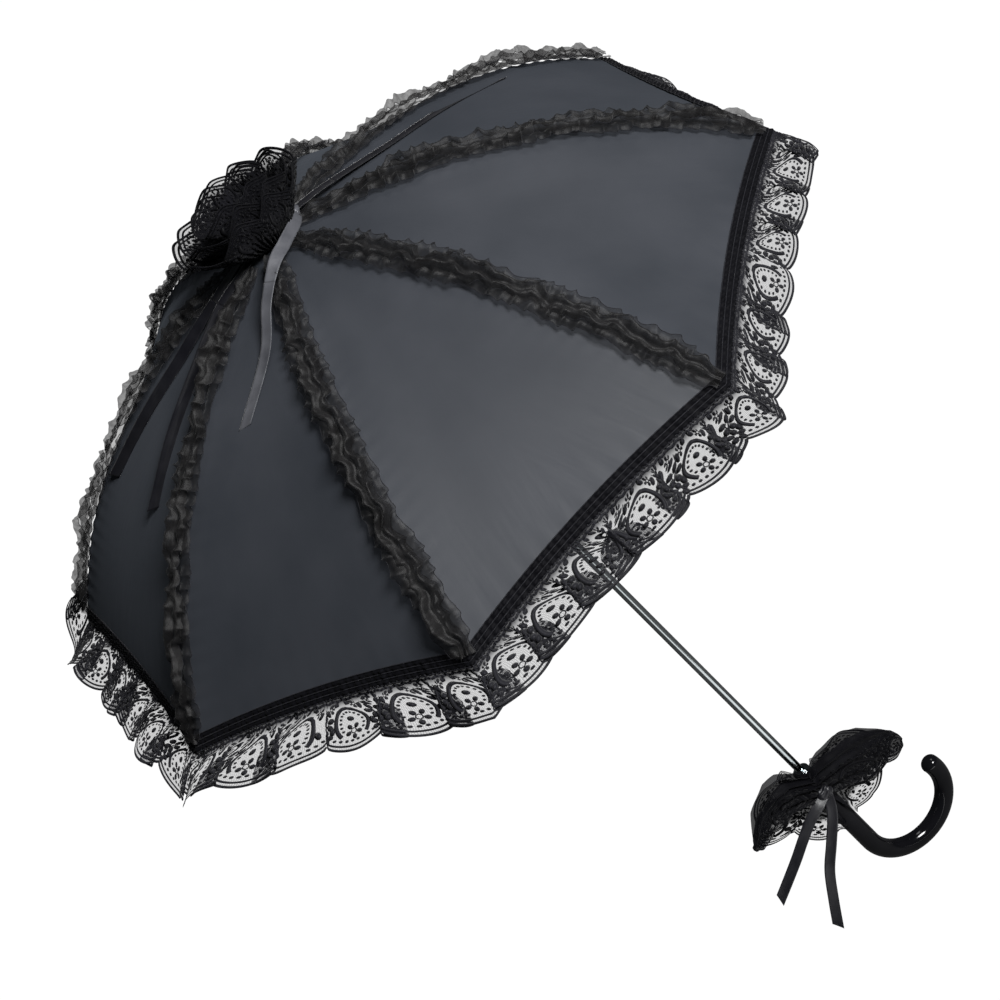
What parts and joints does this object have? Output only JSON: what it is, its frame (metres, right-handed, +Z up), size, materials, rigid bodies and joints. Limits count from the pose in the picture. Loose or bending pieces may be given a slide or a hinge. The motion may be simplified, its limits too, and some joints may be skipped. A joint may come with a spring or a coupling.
{
  "type": "lace parasol",
  "caption": "Folding satin parasol with organza rib ruffles, gathered lace hem, lace crown and handle bows, steel shaft, sliding runner and black crook handle.",
  "frame": {"origin": "middle of the hand's grip, on the axis of the handle's straight part", "axes": "+Z up the shaft to the ferrule, +X the side the crook opens to, -Y the side of the catches and the bow's knot"},
  "size_m": [0.7178, 0.7178, 1.0017],
  "materials": {
    "steel": "bright drawn steel",
    "black_gloss": "glossy black",
    "black_plastic": "satin black plastic",
    "satin": "charcoal satin with a soft sheen",
    "lace": "black lace",
    "ribbon": "black satin ribbon"
  },
  "bodies": {
    "shaft": {"shaft_tube": "steel", "ferrule": "black_gloss", "top_notch": "black_plastic", "notch_wire": "steel", "travel_stop": "steel", "handle_crook": "black_gloss", "handle_collar": "steel", "handle_lace_bow": "lace", "handle_ribbon": "ribbon", "crown_rosette": "lace", "crown_ribbon": "ribbon"},
    "runner": {"runner": "black_plastic", "runner_wire": "steel"},
    "top_catch": {"top_catch": "steel"},
    "bottom_catch": {"bottom_catch": "steel"},
    "rib_1": {"rib_1": "steel", "rib_tip_1": "steel", "canopy_1": "satin", "lace_hem_1": "lace", "ribbon_tail_4": "ribbon"},
    "stretcher_1": {"stretcher_1": "steel"},
    "rib_2": {"rib_2": "steel", "rib_tip_2": "steel", "canopy_2": "satin", "lace_hem_2": "lace"},
    "stretcher_2": {"stretcher_2": "steel"},
    "rib_3": {"rib_3": "steel", "rib_tip_3": "steel", "canopy_3": "satin", "lace_hem_3": "lace"},
    "stretcher_3": {"stretcher_3": "steel"},
    "rib_4": {"rib_4": "steel", "rib_tip_4": "steel", "canopy_4": "satin", "lace_hem_4": "lace", "ribbon_tail_3": "ribbon"},
    "stretcher_4": {"stretcher_4": "steel"},
    "rib_5": {"rib_5": "steel", "rib_tip_5": "steel", "canopy_5": "satin", "lace_hem_5": "lace", "ribbon_tail_1": "ribbon", "ribbon_tail_2": "ribbon"},
    "stretcher_5": {"stretcher_5": "steel"},
    "rib_6": {"rib_6": "steel", "rib_tip_6": "steel", "canopy_6": "satin", "lace_hem_6": "lace"},
    "stretcher_6": {"stretcher_6": "steel"},
    "rib_7": {"rib_7": "steel", "rib_tip_7": "steel", "canopy_7": "satin", "lace_hem_7": "lace"},
    "stretcher_7": {"stretcher_7": "steel"},
    "rib_8": {"rib_8": "steel", "rib_tip_8": "steel", "canopy_8": "satin", "lace_hem_8": "lace"},
    "stretcher_8": {"stretcher_8": "steel"}
  },
  "joints": [
    {"name": "rib_1_hinge", "type": "hinge", "parent": "shaft", "child": "rib_1", "pos_m": [0.00785, 0.00325, 0.84], "axis": [-0.3827, 0.9239, 0], "range_deg": [0, 52], "deforming": ["canopy_1", "lace_hem_1", "ribbon_tail_4"]},
    {"name": "stretcher_1_hinge", "type": "hinge", "parent": "rib_1", "child": "stretcher_1", "pos_m": [0.15382, 0.06371, 0.7973], "axis": [-0.3827, 0.9239, 0], "range_deg": [-95.2, 0]},
    {"name": "rib_2_hinge", "type": "hinge", "parent": "shaft", "child": "rib_2", "pos_m": [0.00325, 0.00785, 0.84], "axis": [-0.9239, 0.3827, 0], "range_deg": [0, 52], "deforming": ["canopy_2", "lace_hem_2"]},
    {"name": "stretcher_2_hinge", "type": "hinge", "parent": "rib_2", "child": "stretcher_2", "pos_m": [0.06371, 0.15382, 0.7973], "axis": [-0.9239, 0.3827, 0], "range_deg": [-95.2, 0]},
    {"name": "rib_3_hinge", "type": "hinge", "parent": "shaft", "child": "rib_3", "pos_m": [-0.00325, 0.00785, 0.84], "axis": [-0.9239, -0.3827, 0], "range_deg": [0, 52], "deforming": ["canopy_3", "lace_hem_3"]},
    {"name": "stretcher_3_hinge", "type": "hinge", "parent": "rib_3", "child": "stretcher_3", "pos_m": [-0.06371, 0.15382, 0.7973], "axis": [-0.9239, -0.3827, 0], "range_deg": [-95.2, 0]},
    {"name": "rib_4_hinge", "type": "hinge", "parent": "shaft", "child": "rib_4", "pos_m": [-0.00785, 0.00325, 0.84], "axis": [-0.3827, -0.9239, 0], "range_deg": [0, 52], "deforming": ["canopy_4", "lace_hem_4", "ribbon_tail_3"]},
    {"name": "stretcher_4_hinge", "type": "hinge", "parent": "rib_4", "child": "stretcher_4", "pos_m": [-0.15382, 0.06371, 0.7973], "axis": [-0.3827, -0.9239, 0], "range_deg": [-95.2, 0]},
    {"name": "rib_5_hinge", "type": "hinge", "parent": "shaft", "child": "rib_5", "pos_m": [-0.00785, -0.00325, 0.84], "axis": [0.3827, -0.9239, 0], "range_deg": [0, 52], "deforming": ["canopy_5", "lace_hem_5", "ribbon_tail_1", "ribbon_tail_2"]},
    {"name": "stretcher_5_hinge", "type": "hinge", "parent": "rib_5", "child": "stretcher_5", "pos_m": [-0.15382, -0.06371, 0.7973], "axis": [0.3827, -0.9239, 0], "range_deg": [-95.2, 0]},
    {"name": "rib_6_hinge", "type": "hinge", "parent": "shaft", "child": "rib_6", "pos_m": [-0.00325, -0.00785, 0.84], "axis": [0.9239, -0.3827, 0], "range_deg": [0, 52], "deforming": ["canopy_6", "lace_hem_6"]},
    {"name": "stretcher_6_hinge", "type": "hinge", "parent": "rib_6", "child": "stretcher_6", "pos_m": [-0.06371, -0.15382, 0.7973], "axis": [0.9239, -0.3827, 0], "range_deg": [-95.2, 0]},
    {"name": "rib_7_hinge", "type": "hinge", "parent": "shaft", "child": "rib_7", "pos_m": [0.00325, -0.00785, 0.84], "axis": [0.9239, 0.3827, 0], "range_deg": [0, 52], "deforming": ["canopy_7", "lace_hem_7"]},
    {"name": "stretcher_7_hinge", "type": "hinge", "parent": "rib_7", "child": "stretcher_7", "pos_m": [0.06371, -0.15382, 0.7973], "axis": [0.9239, 0.3827, 0], "range_deg": [-95.2, 0]},
    {"name": "rib_8_hinge", "type": "hinge", "parent": "shaft", "child": "rib_8", "pos_m": [0.00785, -0.00325, 0.84], "axis": [0.3827, 0.9239, 0], "range_deg": [0, 52], "deforming": ["canopy_8", "lace_hem_8"]},
    {"name": "stretcher_8_hinge", "type": "hinge", "parent": "rib_8", "child": "stretcher_8", "pos_m": [0.15382, -0.06371, 0.7973], "axis": [0.3827, 0.9239, 0], "range_deg": [-95.2, 0]},
    {"name": "runner_slide", "type": "slide", "parent": "shaft", "child": "runner", "axis": [0, 0, 1], "range_m": [-0.1934, 0]},
    {"name": "top_catch_press", "type": "hinge", "parent": "shaft", "child": "top_catch", "pos_m": [0, -0.0016, 0.6512], "axis": [-1, 0, 0], "range_deg": [0, 4.7], "stiffness_Nm_per_rad": 0.2, "springref_deg": -2.86},
    {"name": "bottom_catch_press", "type": "hinge", "parent": "shaft", "child": "bottom_catch", "pos_m": [0, -0.0016, 0.5617], "axis": [1, 0, 0], "range_deg": [0, 4.7], "stiffness_Nm_per_rad": 0.2, "springref_deg": -2.86}
  ],
  "couplings": [
    {"joint": "stretcher_1_hinge", "follows": "rib_1_hinge", "ratio": -1.8266},
    {"joint": "rib_2_hinge", "follows": "rib_1_hinge", "ratio": 1},
    {"joint": "stretcher_2_hinge", "follows": "rib_1_hinge", "ratio": -1.8266},
    {"joint": "rib_3_hinge", "follows": "rib_1_hinge", "ratio": 1},
    {"joint": "stretcher_3_hinge", "follows": "rib_1_hinge", "ratio": -1.8266},
    {"joint": "rib_4_hinge", "follows": "rib_1_hinge", "ratio": 1},
    {"joint": "stretcher_4_hinge", "follows": "rib_1_hinge", "ratio": -1.8266},
    {"joint": "rib_5_hinge", "follows": "rib_1_hinge", "ratio": 1},
    {"joint": "stretcher_5_hinge", "follows": "rib_1_hinge", "ratio": -1.8266},
    {"joint": "rib_6_hinge", "follows": "rib_1_hinge", "ratio": 1},
    {"joint": "stretcher_6_hinge", "follows": "rib_1_hinge", "ratio": -1.8266},
    {"joint": "rib_7_hinge", "follows": "rib_1_hinge", "ratio": 1},
    {"joint": "stretcher_7_hinge", "follows": "rib_1_hinge", "ratio": -1.8266},
    {"joint": "rib_8_hinge", "follows": "rib_1_hinge", "ratio": 1},
    {"joint": "stretcher_8_hinge", "follows": "rib_1_hinge", "ratio": -1.8266},
    {"joint": "runner_slide", "follows": "rib_1_hinge", "m_per_rad": -0.21281}
  ]
}
